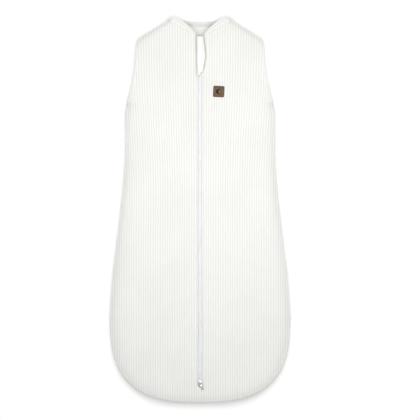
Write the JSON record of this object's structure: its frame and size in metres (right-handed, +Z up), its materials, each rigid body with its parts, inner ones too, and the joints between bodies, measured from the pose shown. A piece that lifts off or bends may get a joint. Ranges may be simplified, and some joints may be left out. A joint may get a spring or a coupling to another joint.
{
  "type": "baby sleeping bag",
  "caption": "Sleeveless padded baby sleeping bag in ribbed cream fabric, lying flat and zipped, with a two-way front zip, guard flap and leather patch.",
  "frame": {"origin": "middle of the bag's footprint, on the surface it lies on", "axes": "+Y towards the neck, +Z up from the floor through the back and then the front, +X to the right of someone facing the bag's front"},
  "size_m": [0.4174, 0.901, 0.0497],
  "materials": {
    "ribbed_fabric": "matte",
    "wadding": "matte",
    "lining_fabric": "matte",
    "plain_fabric": "matte",
    "zip_tape": "matte",
    "zip_coil": "satin",
    "white_metal": "satin",
    "leather": "matte",
    "thread": "matte",
    "emblem": "matte"
  },
  "bodies": {
    "bag": {"back_outer": "ribbed_fabric", "back_wadding": "wadding", "back_lining": "lining_fabric", "back_collar": "plain_fabric", "left_side_outer": "ribbed_fabric", "left_side_wadding": "wadding", "left_side_lining": "lining_fabric", "left_armhole_binding": "plain_fabric", "left_lower_tape": "zip_tape", "left_lower_coil": "zip_coil", "left_bottom_stop": "white_metal", "right_side_outer": "ribbed_fabric", "right_side_wadding": "wadding", "right_side_lining": "lining_fabric", "right_armhole_binding": "plain_fabric", "right_lower_tape": "zip_tape", "right_lower_coil": "zip_coil", "right_bottom_stop": "white_metal"},
    "left_lapel": {"left_lapel_outer": "ribbed_fabric", "left_lapel_wadding": "wadding", "left_lapel_lining": "lining_fabric", "left_collar": "plain_fabric", "left_upper_tape": "zip_tape", "left_upper_coil": "zip_coil", "left_top_stop": "white_metal"},
    "right_lapel": {"right_lapel_outer": "ribbed_fabric", "right_lapel_wadding": "wadding", "right_lapel_lining": "lining_fabric", "right_collar": "plain_fabric", "right_upper_tape": "zip_tape", "right_upper_coil": "zip_coil", "right_top_stop": "white_metal", "leather_patch": "leather", "patch_stitching": "thread", "patch_emblem": "emblem"},
    "guard_flap": {"zip_guard_flap": "plain_fabric"},
    "top_slider": {"top_slider": "white_metal"},
    "top_pull": {"top_pull": "white_metal"},
    "bottom_slider": {"bottom_slider": "white_metal"},
    "bottom_pull": {"bottom_pull": "white_metal"}
  },
  "joints": [
    {"name": "top_slider_travel", "type": "slide", "parent": "bag", "child": "top_slider", "axis": [0, -0.9997, 0.0233], "range_m": [0, 0.6392]},
    {"name": "left_lapel_fold", "type": "hinge", "parent": "bag", "child": "left_lapel", "pos_m": [-0.009, -0.245, 0.0465], "axis": [0.0929, -0.9956, 0.0116], "range_deg": [0, 165.2]},
    {"name": "right_lapel_fold", "type": "hinge", "parent": "bag", "child": "right_lapel", "pos_m": [0.009, -0.245, 0.0465], "axis": [0.0929, 0.9956, -0.0116], "range_deg": [0, 165.2]},
    {"name": "guard_flap_lift", "type": "hinge", "parent": "left_lapel", "child": "guard_flap", "pos_m": [-0.0082, 0.4025, 0.0336], "axis": [0.0246, -0.9994, 0.0233], "range_deg": [0, 140]},
    {"name": "top_pull_swing", "type": "hinge", "parent": "top_slider", "child": "top_pull", "pos_m": [0, 0.38905, 0.03331], "axis": [-1, 0, 0], "range_deg": [0, 8]},
    {"name": "bottom_slider_travel", "type": "slide", "parent": "bag", "child": "bottom_slider", "axis": [0, 1, 0], "range_m": [0, 0.1195]},
    {"name": "bottom_pull_swing", "type": "hinge", "parent": "bottom_slider", "child": "bottom_pull", "pos_m": [0, -0.4045, 0.0481], "axis": [-0.9135, -0.4067, 0], "range_deg": [0, 170]}
  ],
  "couplings": [
    {"joint": "left_lapel_fold", "follows": "top_slider_travel", "rad_per_m": 4.5053},
    {"joint": "right_lapel_fold", "follows": "top_slider_travel", "rad_per_m": 4.5053}
  ]
}
